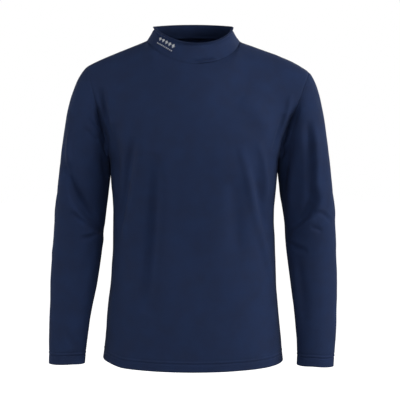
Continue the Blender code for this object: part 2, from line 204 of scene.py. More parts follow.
# %% [markdown]
# ## Finer rows at the turned hems
# The hem and the cuffs end in cloth that is turned up inside, and two rows of stitches on both
# sides of its cut edge press fine lines into it. The skin has a line of edges just there.
# Bevelling that line gives one narrow row on a body panel and two finer ones on a sleeve,
# which the smoothing then divides finely enough. Two would give a body panel too many faces.

# %% Narrow rows
TURNED = ("front", "back", "sleeve_right", "sleeve_left")
TURN_DEPTH = 0.021
Narrow = namedtuple("Narrow", "reach rows")
PANEL_NARROW, SLEEVE_NARROW = Narrow(0.0045, 1), Narrow(0.0055, 2)
BESIDE_LOWEST = 0.010
RUNS_ALONG = 0.7
FAR_AWAY = 1.0


def select_edge_line(piece, spot, along):
    """In edit mode, selects the line of edges along a direction that is nearest to a spot."""
    edit(piece, "EDGE")
    bpy.ops.object.mode_set(mode="OBJECT")
    place = [vertex.co for vertex in piece.data.vertices]

    def distance(edge):
        start, end = (place[index] for index in edge.vertices)
        runs = abs((end - start).normalized().dot(along)) > RUNS_ALONG
        return ((start + end) / 2 - spot).length if runs else FAR_AWAY

    min(piece.data.edges, key=distance).select = True
    bpy.ops.object.mode_set(mode="EDIT")
    bpy.ops.mesh.loop_multi_select(ring=False)


for node in TURNED:
    piece = panels[node]
    lowest = min((vertex.co for vertex in piece.data.vertices), key=lambda co: co.z)
    select_edge_line(piece, lowest + Vector((BESIDE_LOWEST, 0, TURN_DEPTH)), Vector((1, 0, 0)))
    narrow = SLEEVE_NARROW if node.startswith("sleeve") else PANEL_NARROW
    bpy.ops.mesh.bevel(offset=narrow.reach, segments=narrow.rows, affect="EDGES")
    bpy.ops.object.mode_set(mode="OBJECT")
    print(f"{piece.name}: {len(piece.data.polygons)} quads with the narrow rows")

# %% [markdown]
# ## Unwrapping
# Knitted cloth has a grain: its columns of stitches run up the cut piece. So each skin is laid
# flat like its paper pattern while it is still coarse. The tubes are first slit where the real
# ones are sewn shut: the sleeves along the underarm and the neck band at the middle of the back.
# The flat map is then turned upright and scaled so that one unit is one metre.

# %% Flat cut of each piece
SLITS = {
    "sleeve_right": Vector((-0.183, 0.010, -0.33)),
    "sleeve_left": Vector((0.184, 0.010, -0.33)),
    "collar": Vector((0, 0.064, 0.018)),
}


def lay_flat(piece):
    """Unwraps a skin, upright and at true scale."""
    only(piece)
    bpy.ops.object.mode_set(mode="EDIT")
    bpy.ops.mesh.select_all(action="SELECT")
    bpy.ops.uv.unwrap(method="ANGLE_BASED", margin=0)
    bpy.ops.object.mode_set(mode="OBJECT")
    mesh = piece.data
    corners = np.empty(len(mesh.loops), dtype=int)
    mesh.loops.foreach_get("vertex_index", corners)
    flat = np.empty(len(mesh.loops) * 2)
    mesh.uv_layers.active.uv.foreach_get("vector", flat)
    flat = flat.reshape(-1, 2)
    flat -= flat.mean(axis=0)
    solid = points_of(piece)[0][corners]
    rise = solid[:, 2] - solid[:, 2].mean()
    turn = math.atan2(flat[:, 0] @ rise, flat[:, 1] @ rise)
    flat = np.stack(
        [flat[:, 0] * math.cos(turn) - flat[:, 1] * math.sin(turn),
         flat[:, 0] * math.sin(turn) + flat[:, 1] * math.cos(turn)], axis=1
    )
    lengths = [
        np.linalg.norm(table - np.roll(table, 1, axis=1), axis=2).sum()
        for table in (solid.reshape(-1, 4, 3), flat.reshape(-1, 4, 2))
    ]
    flat *= lengths[0] / lengths[1]
    mesh.uv_layers.active.uv.foreach_set("vector", flat.astype(np.float32).ravel())
    size = flat.max(axis=0) - flat.min(axis=0)
    print(f"{piece.name}: laid flat it is {size[0]:.3f} by {size[1]:.3f} m")


for node, piece in panels.items():
    if node in SLITS:
        select_edge_line(piece, SLITS[node], Vector((0, 0, 1)))
        bpy.ops.mesh.mark_seam(clear=False)
        bpy.ops.object.mode_set(mode="OBJECT")
    lay_flat(piece)

# %% [markdown]
# ## Smoothing
# Subdivision turns the coarse grid into a smooth sheet with a point every 2 or 3 millimetres.
# It would round off the corners of the cut pieces too, at the armpits, the neck points and the
# shoulder tips, and the pieces would no longer meet there. So those points are creased first.
# Smoothing also pulls a rounded form in a little. A trial copy shows by how much, and the
# coarse points are moved out as far beforehand, so that the smooth sheet keeps its size.

# %% Subdivision
SMOOTHING_LEVELS = 3
CORNER_ANGLE = math.radians(50)


def sharpen_corners(piece):
    """Creases the points where the open edge of a skin turns sharply."""
    sheet = bmesh.new()
    sheet.from_mesh(piece.data)
    turning = []
    for vertex in sheet.verts:
        rim = [edge for edge in vertex.link_edges if edge.is_boundary]
        if len(rim) == 2:
            one, other = (edge.other_vert(vertex).co - vertex.co for edge in rim)
            if math.pi - one.angle(other) > CORNER_ANGLE:
                turning.append(vertex.index)
    sheet.free()
    edit(piece, "VERT")
    bpy.ops.object.mode_set(mode="OBJECT")
    for index in turning:
        piece.data.vertices[index].select = True
    bpy.ops.object.mode_set(mode="EDIT")
    bpy.ops.transform.vert_crease(value=1)
    bpy.ops.object.mode_set(mode="OBJECT")
    return len(turning)


def smooth(piece):
    """Subdivides a skin, keeping the corners of its edge."""
    apply_modifier(
        piece, "SUBSURF", levels=SMOOTHING_LEVELS, render_levels=SMOOTHING_LEVELS,
        boundary_smooth="PRESERVE_CORNERS",
    )


for piece in panels.values():
    sharp = sharpen_corners(piece)
    trial = piece.copy()
    trial.data = piece.data.copy()
    bpy.context.scene.collection.objects.link(trial)
    smooth(trial)
    coarse = points_of(piece)[0]
    pulled = points_of(trial)[0][:len(coarse)]
    bpy.data.objects.remove(trial)
    move_points(piece, 2 * coarse - pulled)
    smooth(piece)
    print(f"{piece.name}: {sharp} sharp corners, {len(piece.data.polygons)} fine quads")

# %% [markdown]
# ## Finding the seams
# Two pieces are sewn where their open edges run side by side. Each point there is paired now
# with the nearest place on the other edge, because creases must fade out before a seam. The
# place is kept as a share of the way between two points, and the seam itself is shaped last.

# %% Pairs of points along the seams
SEWN_WITHIN = 0.0030
PLACES_ON_EDGE = 8
Stitch = namedtuple("Stitch", "point neighbour start end share")


def open_edges(piece):
    """The open edges of a skin, each as the numbers of its two points."""
    mesh = piece.data
    used = np.empty(len(mesh.loops), dtype=int)
    mesh.loops.foreach_get("edge_index", used)
    ends = np.empty(len(mesh.edges) * 2, dtype=int)
    mesh.edges.foreach_get("vertices", ends)
    once = np.bincount(used, minlength=len(mesh.edges)) == 1
    return ends.reshape(-1, 2)[once]


def tree_of(places):
    """A search tree over a list of places."""
    tree = KDTree(len(places))
    for number, place in enumerate(places):
        tree.insert(place, number)
    tree.balance()
    return tree


def between(table, stitch):
    """The row of a table of points at the place that a stitch names on the other edge."""
    return table[stitch.start] * (1 - stitch.share) + table[stitch.end] * stitch.share


edges_of = {node: open_edges(piece) for node, piece in panels.items()}
rims = {node: np.unique(edges) for node, edges in edges_of.items()}
places_of = {node: points_of(piece)[0] for node, piece in panels.items()}
seams = {}
for node, piece in panels.items():
    others = [
        Stitch(None, other, start, end, share) for other in panels if other != node
        for start, end in edges_of[other]
        for share in np.arange(PLACES_ON_EDGE) / PLACES_ON_EDGE
    ]
    tree = tree_of([between(places_of[other.neighbour], other) for other in others])
    seams[node] = []
    for index in rims[node]:
        place, number, gap = tree.find(piece.data.vertices[index].co)
        if gap < SEWN_WITHIN:
            seams[node].append(others[number]._replace(point=int(index)))
    print(f"{piece.name}: {len(seams[node])} of {len(rims[node])} edge points are sewn")


def distances(piece, indices):
    """How far each point of a piece lies from the nearest of some of its points."""
    tree = tree_of([piece.data.vertices[index].co for index in indices])
    return np.array([tree.find(vertex.co)[2] for vertex in piece.data.vertices])


from_seam = {
    node: distances(piece, [stitch.point for stitch in seams[node]])
    for node, piece in panels.items()
}

# %% [markdown]
# ## Creases
# Worn cloth falls in long soft folds from the points where it is held: from the armholes down
# the body, and round the elbow where the arm bends a little. Every crease is drawn as a line
# of three points, seen from one side in millimetres, with a width, a depth and the height of
# the roll of cloth beside it, its lip. A negative depth makes a ridge. A positive lip lies on
# the right of a line that runs down, or above a line that runs to the right.
# Those on the front follow the photograph, and the hidden sides get similar ones.

# %% Table of creases
Crease = namedtuple(
    "Crease",
    "seen_from across_top height_top across_middle height_middle across_foot height_foot "
    "width depth lip",
)
CREASES_IN_MM = {
    ("collar", "front"): (
        (-6, -41, 18, -40.2, 42, -35, 2.4, 3.6, 0),
        (6, -45.5, 29, -44.5, 52, -38.5, 2.8, -3.4, 0),
    ),
    ("front", "front"): (
        (-118.5, -195, -136, -285, -158, -420, 12, 10, 4),
        (-76, -225, -83, -385, -100, -560, 13, 8, 2.6),
        (122, -252, 137, -330, 149, -394, 11, 4.6, -1.2),
        (82, -270, 86, -350, 92, -440, 16, 2.2, 0.8),
        (-165, -170, -163, -245, -160, -340, 20, 11.5, 0),
        (-192, -96, -181, -140, -173, -200, 7, 7.5, 2.3),
        (96, -210, 115, -294, 131, -379, 10, -5.6, 0),
        (125, -350, 149, -430, 165, -510, 10, -4, 0),
        (131, -200, 146, -265, 149, -330, 9, -5.2, 0),
        (200, -110, 192, -150, 172, -205, 6, -3.3, 0),
        (184, -150, 176, -185, 160, -230, 7, 3.9, 0),
        (98, -118, 133, -155, 155, -196, 20, -5, 0),
    ),
    ("back", "back"): (
        (-130, -215, -112, -300, -90, -400, 12, 9, 3.2),
        (-150, -250, -140, -340, -128, -460, 10, 6.6, -2.2),
        (134, -225, 110, -310, 96, -430, 11, 8.2, -2.7),
        (152, -270, 146, -330, 138, -420, 9, 5.8, 2.2),
        (-20, -350, -10, -430, -16, -540, 13, 5.6, 1.8),
        (42, -400, 46, -470, 38, -580, 11, 4.2, 0),
        (-180, -120, -166, -165, -140, -215, 8, 7, 2.9),
        (190, -125, 170, -175, 150, -225, 7, 6.2, -2.5),
        (-60, -80, 0, -96, 56, -82, 12, 3.6, 0),
    ),
    ("sleeve_right", "front"): (
        (-207, -150, -191, -215, -182, -310, 12, 4, -2.4),
        (-214, -160, -203, -176, -190, -186, 4, 3, 1.2),
        (-222, -178, -208, -196, -193, -208, 5, 3, 1.2),
        (-258, -250, -235, -330, -184, -406, 11, 11.8, -6.6),
        (-252, -352, -230, -374, -206, -388, 5, 5.6, 1.6),
        (-234, -410, -216, -407, -198, -399, 5, 4.2, 1.2),
        (-254.5, -180, -256, -230, -252, -280, 6, -6, 0),
        (-230, -190, -230, -230, -228, -270, 12, 3, 0),
        (-214, -440, -232, -500, -240, -580, 10, 2.2, 0.7),
        (-276, -585, -262, -615, -250, -640, 8, 1.9, 0.7),
    ),
    ("sleeve_right", "back"): (
        (-205, -180, -222, -235, -218, -300, 9, 4.3, 1.9),
        (-185, -345, -225, -372, -272, -385, 9, 5.3, 2.6),
        (-198, -395, -230, -412, -262, -408, 7, 3.6, 1.7),
        (-230, -450, -250, -500, -262, -570, 10, 2.4, 1),
    ),
    ("sleeve_right", "right"): (
        (-30, -300, -4, -350, 26, -380, 10, 4.1, 1.7),
        (-20, -420, -6, -440, 12, -446, 8, 2.6, 1.2),
    ),
    ("sleeve_left", "front"): (
        (233, -165, 240.5, -240, 240, -325, 8, 6.2, 6.2),
        (245, -295, 237, -352, 198, -392, 10, 9, 5.8),
        (252, -364, 224, -383, 205, -404, 6, -4, 0),
        (243, -387, 255, -388, 267, -395, 4, 3, 0),
        (194, -418, 212, -430, 238, -435, 6, 4, 1.4),
        (246.3, -356, 268, -358, 287.5, -378, 5, 2.6, 1),
        (212, -440, 226, -510, 232, -590, 10, 2.2, -0.7),
        (206, -140, 196, -215, 190, -310, 15, 8, 3),
        (200, -215, 202.5, -300, 200, -372, 12, -5, 0),
        (211, -435, 216.2, -530, 223.5, -630, 10, -3.2, 0),
    ),
    ("sleeve_left", "back"): (
        (210, -185, 226, -240, 216, -310, 9, 4.1, -1.7),
        (190, -350, 232, -374, 276, -392, 9, 5, -2.4),
        (204, -402, 236, -424, 268, -420, 7, 3.4, -1.4),
        (236, -455, 248, -510, 256, -575, 10, 2.4, 1),
    ),
    ("sleeve_left", "left"): (
        (-26, -310, 0, -356, 26, -378, 10, 3.8, -1.7),
        (-18, -430, 0, -448, 18, -450, 8, 2.6, 1.2),
    ),
}
MM_IN_METRE = 1000
CREASES = {node: [] for node in panels}
for (node, view), rows in CREASES_IN_MM.items():
    CREASES[node] += [Crease(view, *(number / MM_IN_METRE for number in row)) for row in rows]
print("creases:", {node: len(creases) for node, creases in CREASES.items()})

# %% [markdown]
# ### Pressing them in
# The line is sampled every few millimetres, and each sample is dropped onto the cloth along
# the direction of view. The cloth near it then moves along its own normal. The fold dies away
# smoothly at both ends and before it reaches a seam.

# %% Press the creases
LOOKING = {
    "front": Vector((0, 1, 0)),
    "back": Vector((0, -1, 0)),
    "right": Vector((1, 0, 0)),
    "left": Vector((-1, 0, 0)),
}
SAMPLE_EVERY = 0.003
CREASE_REACH = 4
LIP_AWAY = 1.6
LIP_WIDTH = 1.1
END_TAPER = 0.7
FADE_OUT_BEFORE_SEAM = 0.006
FADE_OUT_ON_BAND = 0.002


def crease_line(piece, crease):
    """Samples of a crease on the cloth: their places, and how far along the line each lies."""
    looking = LOOKING[crease.seen_from]
    ends = [
        Vector((crease.across_top, crease.height_top)),
        Vector((crease.across_middle, crease.height_middle)),
        Vector((crease.across_foot, crease.height_foot)),
    ]
    length = (ends[1] - ends[0]).length + (ends[2] - ends[1]).length
    control = ends[1] * 2 - (ends[0] + ends[2]) / 2
    places, shares = [], []
    for share in np.linspace(0, 1, int(length / SAMPLE_EVERY) + 2):
        across, height = (
            ends[0] * (1 - share) ** 2 + control * 2 * share * (1 - share) + ends[2] * share**2
        )
        level = Vector((0, across, height)) if looking.x else Vector((across, 0, height))
        found, place, *_ = piece.ray_cast(level - looking * FAR_AWAY, looking)
        if found:
            places.append(place)
            shares.append(share)
    return np.array(places), np.array(shares)


def press(piece, crease, places, normals):
    """How far one crease moves each point of a piece along its normal."""
    moved = np.zeros(len(places))
    line, shares = crease_line(piece, crease)
    if len(line) < 3:
        print(f"{piece.name}: the crease from {crease.across_top} misses the cloth")
        return moved
    reach = CREASE_REACH * crease.width
    near = np.flatnonzero(
        np.all(places > line.min(axis=0) - reach, axis=1)
        & np.all(places < line.max(axis=0) + reach, axis=1)
    )
    gaps = places[near][:, None] - line[None]
    closest = np.argmin((gaps**2).sum(axis=2), axis=1)
    offset = gaps[np.arange(len(near)), closest]
    tangent = np.gradient(line, axis=0)
    step = np.linalg.norm(tangent, axis=1, keepdims=True)
    tangent = (tangent / step)[closest]
    along = (offset * tangent).sum(axis=1)
    share = shares[closest] + along / step[closest, 0] * np.gradient(shares)[closest]
    sideways = (offset * np.cross(normals[near], tangent)).sum(axis=1) / crease.width
    roll = sideways * np.sign(crease.lip) - LIP_AWAY
    shape = abs(crease.lip) * np.exp(-((roll / LIP_WIDTH) ** 2))
    shape -= crease.depth * np.exp(-(sideways**2))
    shape *= np.sin(np.pi * np.clip(share, 0, 1)) ** END_TAPER
    shape[np.linalg.norm(offset, axis=1) > reach] = 0
    moved[near] = shape
    return moved


for node, creases in CREASES.items():
    piece = panels[node]
    places, normals = points_of(piece)
    moved = sum(press(piece, crease, places, normals) for crease in creases)
    fade = FADE_OUT_ON_BAND if node == "collar" else FADE_OUT_BEFORE_SEAM
    moved *= soft_step(from_seam[node] / fade)
    move_points(piece, places + normals * moved[:, None])
    deepest, highest = MM_IN_METRE * moved.min(), MM_IN_METRE * moved.max()
    print(f"{piece.name}: pressed {deepest:.1f} to {highest:.1f} mm")

# %% [markdown]
# ## The unevenness of soft cloth
# Between the creases a knit is never quite even either. Two sizes of smooth noise move it by
# up to about a millimetre, and die away at the seams as the creases do.

# %% Slight unevenness
Swell = namedtuple("Swell", "size height")
SWELLS = (Swell(0.055, 0.0011), Swell(0.021, 0.0003))

for node, piece in panels.items():
    places, normals = points_of(piece)
    moved = np.zeros(len(places))
    for swell in SWELLS:
        moved += swell.height * np.array(
            [noise.noise(Vector(place) / swell.size) for place in places]
        )
    moved *= soft_step(from_seam[node] / FADE_OUT_BEFORE_SEAM)
    move_points(piece, places + normals * moved[:, None])

# %% [markdown]
# ## Tucking the armholes
# Below the shoulder the arm presses the sleeve against the body, and the armhole seam sinks in
# between them. The photograph shows that as a dark valley that deepens towards the armpit. It
# is left out where the cloth faces sideways, because there the sleeve and the body touch.

# %% Tuck
Tuck = namedtuple("Tuck", "depth width top full")
TUCKS = (Tuck(0.0060, 0.0085, -0.090, -0.175), Tuck(0.0105, 0.0048, -0.125, -0.165))
FACES_SIDEWAYS = 0.28

for node, piece in panels.items():
    sleeve_side = node.startswith("sleeve")
    armhole = [stitch.point for stitch in seams[node]
               if sleeve_side or stitch.neighbour.startswith("sleeve")]
    if node == "collar" or not armhole:
        continue
    away = distances(piece, armhole)
    places, normals = points_of(piece)
    moved = sum(tuck.depth * np.exp(-((away / tuck.width) ** 2))
                * soft_step((tuck.top - places[:, 2]) / (tuck.top - tuck.full))
                for tuck in TUCKS)
    moved *= soft_step((np.abs(normals[:, 1]) - FACES_SIDEWAYS) / (1 - FACES_SIDEWAYS))
    move_points(piece, places - normals * moved[:, None])
    print(f"{piece.name}: tucked in by up to {MM_IN_METRE * moved.max():.1f} mm")

# %% [markdown]
# ## Ends of the hem and cuffs
# The photographed cuffs end almost level, so the side of each towards the body hangs a little.
# The hem is drawn up a little at the side seam on the wearer's right.

# %% Lower edges
HEM_LIFT = 0.0050
LIFT_FROM, LIFT_TO = -0.145, -0.188
LIFT_REACH = 0.080
CUFF_DROP = 0.0035
CUFF_REACH = 0.060
CUFF_WIDTH = 0.036
FOREARM_HEIGHT = -0.5

for node in ("sleeve_right", "sleeve_left"):
    piece = panels[node]
    places, normals = points_of(piece)
    up = distances(piece, [index for index in rims[node] if places[index, 2] < FOREARM_HEIGHT])
    inward = np.abs(places[up < CUFF_REACH, 0]).min() + CUFF_WIDTH - np.abs(places[:, 0])
    places[:, 2] -= CUFF_DROP * soft_step(1 - up / CUFF_REACH) * soft_step(inward / CUFF_WIDTH)
    move_points(piece, places)
    print(f"{piece.name}: lowest point at {places[:, 2].min():.4f} m")

for node in ("front", "back"):
    piece = panels[node]
    places, normals = points_of(piece)
    sewn = {stitch.point for stitch in seams[node]}
    up = distances(piece, [index for index in rims[node] if index not in sewn])
    share = soft_step((places[:, 0] - LIFT_FROM) / (LIFT_TO - LIFT_FROM))
    places[:, 2] += HEM_LIFT * share * soft_step(1 - up / LIFT_REACH)
    move_points(piece, places)

# %% [markdown]
# ## Sewing the seams
# At a seam both edges are turned in and pulled down by the thread, so the cloth dips into a
# fine valley. Each pair of points is brought together and sunk along the mean of both normals,
# and the cloth close by follows. The edges overlap by a hair, so that no light leaks through.

# %% Seams
SEAM_OVERLAP = 0.0001
SEAM_SINK = 0.0009
NECK_SEAM_SINK = 0.0003
SEAM_REACH = 0.0040
SEAM_FADED = 3

normals_of = {node: points_of(piece)[1] for node, piece in panels.items()}
places_of = {node: points_of(piece)[0] for node, piece in panels.items()}
for node, piece in panels.items():
    places = places_of[node].copy()
    shifts, anchors = [], []
    for stitch in seams[node]:
        own = places_of[node][stitch.point]
        other = between(places_of[stitch.neighbour], stitch)
        apart = (own - other) / max(np.linalg.norm(own - other), 1e-9)
        outward = (
            normals_of[node][stitch.point] + between(normals_of[stitch.neighbour], stitch)
        ) / 2
        sink = NECK_SEAM_SINK if "collar" in (node, stitch.neighbour) else SEAM_SINK
        sewn = (own + other) / 2 - apart * SEAM_OVERLAP / 2 - outward * sink
        anchors.append(own)
        shifts.append(sewn - own)
    tree = tree_of(anchors)
    for index in np.flatnonzero(from_seam[node] < SEAM_FADED * SEAM_REACH):
        place, number, gap = tree.find(places[index])
        places[index] += shifts[number] * math.exp(-((gap / SEAM_REACH) ** 2))
    move_points(piece, places)
    furthest = MM_IN_METRE * np.linalg.norm(shifts, axis=1).max()
    print(f"{piece.name}: seams moved by up to {furthest:.1f} mm")

# %% [markdown]
# ## Turned hem and cuffs
# The turned-up edge is held by two rows of stitches about 6 mm apart, one on each
# side of its cut edge. Both rows press a groove, and the cloth puffs up between them. Below
# them the wall is double: a vertex group holds each point's share of the double thickness.

# %% Bands
JERSEY = 0.0013
Row = namedtuple("Row", "height groove")
HEM_ROWS = (Row(0.0170, 0.0009), Row(0.0234, 0.0003))
CUFF_ROWS = (Row(0.0188, 0.0009), Row(0.0250, 0.0007))
ROWS = {"front": HEM_ROWS, "back": HEM_ROWS, "sleeve_right": CUFF_ROWS, "sleeve_left": CUFF_ROWS}
GROOVE_WIDTH = 0.0013
PUFF_HEIGHT = 0.0005
PUFF_WIDTH = 0.0020
SINGLE = 0.5

for node in TURNED:
    piece = panels[node]
    sewn = {stitch.point for stitch in seams[node]}
    free = [index for index in rims[node] if index not in sewn]
    up = distances(piece, free)
    band = soft_step((TURN_DEPTH + GROOVE_WIDTH - up) / (2 * GROOVE_WIDTH))
    middle = sum(row.height for row in ROWS[node]) / len(ROWS[node])
    moved = PUFF_HEIGHT * np.exp(-(((up - middle) / PUFF_WIDTH) ** 2))
    for row in ROWS[node]:
        moved -= row.groove * np.exp(-(((up - row.height) / GROOVE_WIDTH) ** 2))
    places, normals = points_of(piece)
    moved *= soft_step(from_seam[node] / SEAM_REACH)
    move_points(piece, places + normals * moved[:, None])
    group = piece.vertex_groups.new(name="thickness")
    for share in np.unique(np.round(band, 1)):
        chosen = np.flatnonzero(np.round(band, 1) == share)
        group.add(chosen.tolist(), float(SINGLE + (1 - SINGLE) * share), "REPLACE")
    apply_modifier(
        piece, "SOLIDIFY", thickness=2 * JERSEY, offset=-1, vertex_group="thickness"
    )
    piece.vertex_groups.clear()
    only(piece)
    bpy.ops.object.shade_smooth()
    print(f"{piece.name}: {2 * len(piece.data.polygons)} triangles of wall")

# %% [markdown]
# ## The neck band
# The band is one strip folded along its top edge. The fold rolls outwards a little, unevenly,
# and below it the two layers lie closer together. The photograph shows that as a bright line
# along the fold over a soft dark one. Solidify gives the band the thickness of two layers, and
# then only its outer layer is moved, so that the inside stays plain. One bevel rounds the fold
# fully, and a slighter one the edges that are sewn in.

# %% Neck band
TWO_LAYERS = 0.0028
Roll = namedtuple("Roll", "below_edge height width")
BAND_ROLLS = (Roll(0.0000, 0.0024, 0.0031), Roll(0.0062, -0.0022, 0.0027))
ROLL_WAVE = 0.035
ROLL_MEAN, ROLL_SWING = 0.9, 0.3
FOLD_ROUNDING = 0.0020
SEWN_ROUNDING = 0.0008
RIM_REACH = 0.0045
SHARP_EDGE = math.radians(50)

band = panels["collar"]
sewn = {stitch.point for stitch in seams["collar"]}
fold = [index for index in rims["collar"] if index not in sewn]
below = distances(band, fold)
skin, normals = points_of(band)
outward = normals * [1, 1, 0]
outward /= np.linalg.norm(outward, axis=1, keepdims=True)
moved = sum(roll.height * np.exp(-(((below - roll.below_edge) / roll.width) ** 2))
            for roll in BAND_ROLLS)
moved *= [ROLL_MEAN + ROLL_SWING * noise.noise(Vector((x, y, 0)) / ROLL_WAVE)
          for x, y, z in skin]
fold_tree = tree_of(skin[fold])
sewn_tree = tree_of(skin[sorted(sewn)])
apply_modifier(band, "SOLIDIFY", thickness=TWO_LAYERS, offset=-1)
wall = points_of(band)[0]
first = 0 if np.allclose(wall[:len(skin)], skin, atol=MERGE) else len(skin)
wall[first:first + len(skin)] += outward * moved[:, None]
move_points(band, wall)


def bevel_sharp_edges(piece, tree, width, segments):
    """Bevels the sharp edges of a piece that lie near the points of a search tree."""
    edit(piece, "EDGE")
    bpy.ops.mesh.edges_select_sharp(sharpness=SHARP_EDGE)
    bpy.ops.object.mode_set(mode="OBJECT")
    near = [tree.find(vertex.co)[2] < RIM_REACH for vertex in piece.data.vertices]
    for edge in piece.data.edges:
        edge.select = edge.select and all(near[index] for index in edge.vertices)
    bpy.ops.object.mode_set(mode="EDIT")
    bpy.ops.mesh.bevel(offset=width, segments=segments, affect="EDGES")
    bpy.ops.object.mode_set(mode="OBJECT")


bevel_sharp_edges(band, fold_tree, FOLD_ROUNDING, 4)
bevel_sharp_edges(band, sewn_tree, SEWN_ROUNDING, 2)
only(band)
bpy.ops.object.shade_smooth()
print(f"{band.name}: {2 * len(band.data.polygons)} triangles of wall")

# %% [markdown]
# ## Cover stitching
# A cover-stitch machine holds the turned hem with two rows of thread, each a line of short
# stitches that dive into the cloth at both ends. One stitch is a small sphere pulled into an
# arched capsule. It is copied along each row, and the copies are joined.

# %% One stitch
STITCH_LENGTH = 0.0024
STITCH_THREAD = 0.0005
STITCH_ARCH = 0.0002


def model_stitch():
    """An arched stitch of thread, one stitch length long along X, with its ends down."""
    only(camera)
    camera.select_set(False)
    bpy.ops.mesh.primitive_uv_sphere_add(segments=6, ring_count=4, radius=STITCH_THREAD / 2)
    stitch = bpy.context.object
    bpy.ops.transform.rotate(value=math.pi / 2, orient_axis="Y", center_override=(0, 0, 0))
    bpy.ops.object.transform_apply(location=True, rotation=True, scale=True)
    for end in (-1, 1):
        edit(stitch, "VERT")
        bpy.ops.object.mode_set(mode="OBJECT")
        for vertex in stitch.data.vertices:
            vertex.select = vertex.co.x * end > STITCH_THREAD / 10
        bpy.ops.object.mode_set(mode="EDIT")
        slide = end * (STITCH_LENGTH - STITCH_THREAD) / 2
        bpy.ops.transform.translate(value=(slide, 0, -STITCH_ARCH))
    bpy.ops.object.mode_set(mode="OBJECT")
    return stitch


stitch = model_stitch()
print(f"one stitch has {sum(len(face.vertices) - 2 for face in stitch.data.polygons)} triangles")

# %% [markdown]
# ### Rows of stitches
# A row follows the edge of its piece at a set height. Each stitch is dropped onto the cloth at
# its place, so that it turns with the surface, and the rows end at the side seams.

# %% Rows
STITCH_PITCH = 0.0032
THREAD_SUNK = 0.0001
OUTSIDE = 0.003
Station = namedtuple("Station", "place along outward length")


def on_cloth(piece, place, outward):
    """The place on the outer face of the cloth that a point outside it is nearest to."""
    found, seat, normal, face = piece.closest_point_on_mesh(Vector(place) + outward * OUTSIDE)
    return seat, normal


def sew(name, stations):
    """Copies the stitch to every station, stretched to its length, as one joined mesh."""
    shape = [vertex.co for vertex in stitch.data.vertices]
    faces = [tuple(face.vertices) for face in stitch.data.polygons]
    places, polygons = [], []
    for station in stations:
        side = station.outward.cross(station.along).normalized()
        up = station.along.cross(side)
        turn = Matrix((station.along, side, up)).transposed()
        stretch = Vector((station.length / STITCH_LENGTH, 1, 1))
        first = len(places)
        places += [station.place + turn @ (co * stretch) for co in shape]
        polygons += [tuple(first + number for number in face) for face in faces]
    mesh = bpy.data.meshes.new(name)
    mesh.from_pydata(places, [], polygons)
    mesh.shade_smooth()
    piece = bpy.data.objects.new(name, mesh)
    bpy.context.scene.collection.objects.link(piece)
    print(f"{name}: {len(stations)} stitches")
    return piece


def edge_walk(piece, indices, closed):
    """The points of an edge in order, walked round a sleeve or across a body panel."""
    places = [piece.data.vertices[index].co.copy() for index in indices]
    middle = sum(places, Vector()) / len(places)
    if not closed:
        return sorted(places, key=lambda co: co.x)
    places.sort(key=lambda co: math.atan2(co.y - middle.y, co.x - middle.x))
    return places + places[:1]


def row_stations(piece, walk, height):
    """Stations a stitch pitch apart, at a height above an edge."""
    steps = [0.0]
    for before, after in zip(walk, walk[1:]):
        steps.append(steps[-1] + (after - before).length)
    middle = sum(walk, Vector()) / len(walk)
    stations = []
    for distance in np.arange(STITCH_PITCH / 2, steps[-1], STITCH_PITCH):
        after = min(int(np.searchsorted(steps, distance)), len(walk) - 1)
        share = (distance - steps[after - 1]) / (steps[after] - steps[after - 1])
        along = (walk[after] - walk[after - 1]).normalized()
        outward = walk[after] - middle
        outward.z = 0
        place = walk[after - 1].lerp(walk[after], share) + Vector((0, 0, height))
        seat, normal = on_cloth(piece, place, outward.normalized())
        along = (along - normal * along.dot(normal)).normalized()
        stations.append(Station(seat - normal * THREAD_SUNK, along, normal, STITCH_LENGTH))
    return stations


hem_stitches = {}
for node in TURNED:
    piece = panels[node]
    sewn = {stitching.point for stitching in seams[node]}
    free = [index for index in rims[node] if index not in sewn]
    walk = edge_walk(piece, free, closed=node.startswith("sleeve"))
    stations = [
        station for row in ROWS[node] for station in row_stations(piece, walk, row.height)
    ]
    hem_stitches[node] = sew(piece.name + "_stitches", stations)

# %% [markdown]
# ## A small ornament on the neck band
# The band carries a plain white border pattern at the wearer's right: a row of satin-stitched
# lozenges above a row of short dashes. Satin stitch is threads laid side by side, so each
# lozenge is filled with threads as long as it is wide there. The pattern is laid out flat and
# dropped onto the band.

# %% Ornament
ORNAMENT_ACROSS, ORNAMENT_HEIGHT = -0.0545, -0.0045
ORNAMENT_TILT = math.radians(-25)
SATIN_PITCH = 0.00045
LOZENGE_WIDTH, LOZENGE_HEIGHT, LOZENGE_PITCH = 0.0086, 0.0100, 0.0092
LOZENGES, DASHES = 5, 10
DASH_LENGTH, DASH_PITCH, DASH_DROP, DASH_THREADS = 0.0034, 0.0045, 0.0092, 5

Thread = namedtuple("Thread", "across up length")


def ornament_threads():
    """Every thread of the ornament: its middle and length on a flat map."""
    threads = []
    for lozenge in range(LOZENGES):
        middle = (lozenge - (LOZENGES - 1) / 2) * LOZENGE_PITCH
        for up in np.arange(-LOZENGE_HEIGHT / 2 + SATIN_PITCH, LOZENGE_HEIGHT / 2, SATIN_PITCH):
            width = LOZENGE_WIDTH * (1 - abs(up) / (LOZENGE_HEIGHT / 2))
            if width > STITCH_THREAD:
                threads.append(Thread(middle, up, width))
    for dash in range(DASHES):
        middle = (dash - (DASHES - 1) / 2) * DASH_PITCH
        for row in range(DASH_THREADS):
            threads.append(Thread(middle, -DASH_DROP - row * SATIN_PITCH, DASH_LENGTH))
    return threads


